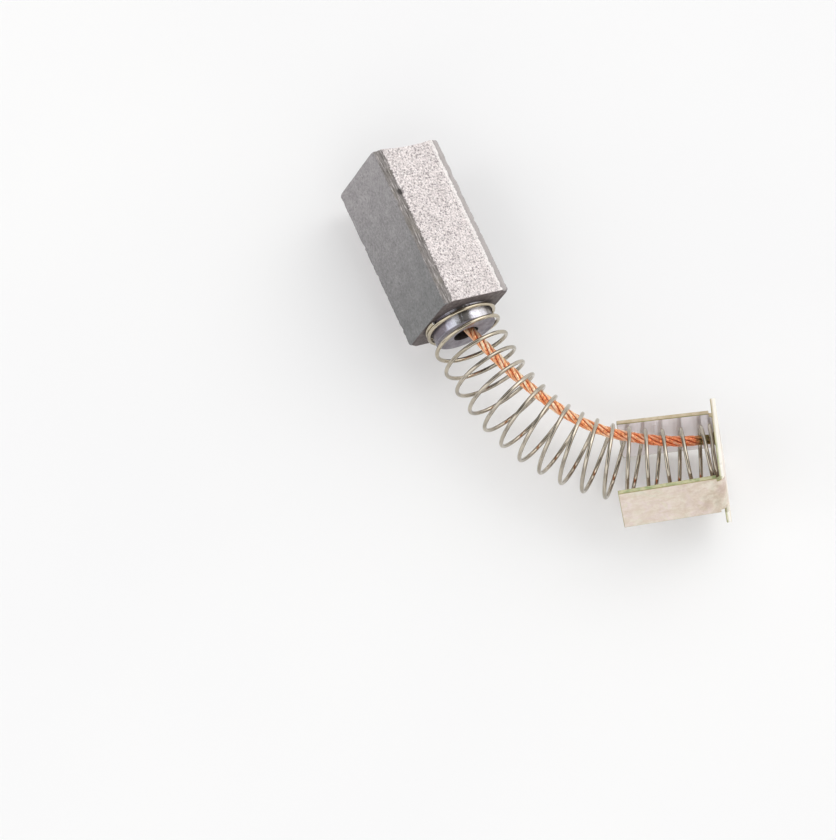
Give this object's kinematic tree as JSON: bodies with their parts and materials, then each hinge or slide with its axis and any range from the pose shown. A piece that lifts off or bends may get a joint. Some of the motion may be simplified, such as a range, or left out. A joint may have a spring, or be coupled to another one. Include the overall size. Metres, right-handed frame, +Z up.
{
  "type": "carbon brush",
  "caption": "Rectangular carbon block with a boss, a bent coil spring round a copper shunt, and a folded U-shaped terminal clip on the far end.",
  "frame": {"origin": "centre of the footprint on the table that the brush lies on", "axes": "+Z up, off the table; +X along the open end to back plate direction of the clip, near enough; the block's contact end points to -X +Y"},
  "size_m": [0.0326, 0.0336, 0.0096],
  "materials": {
    "carbon": "pressed graphite: speckled on the two ground guide faces, smooth grey on the others",
    "powder": "tamped contact powder",
    "spring_wire": "bright drawn spring wire",
    "copper": "bare stranded copper, heat-tinted at the weld",
    "plated_sheet": "zinc-plated steel sheet with a faint passivation tint"
  },
  "bodies": {
    "root": {"carbon_block": "carbon", "contact_plug": "powder", "spring": "spring_wire", "shunt": "copper", "terminal_clip": "plated_sheet"}
  },
  "joints": []
}
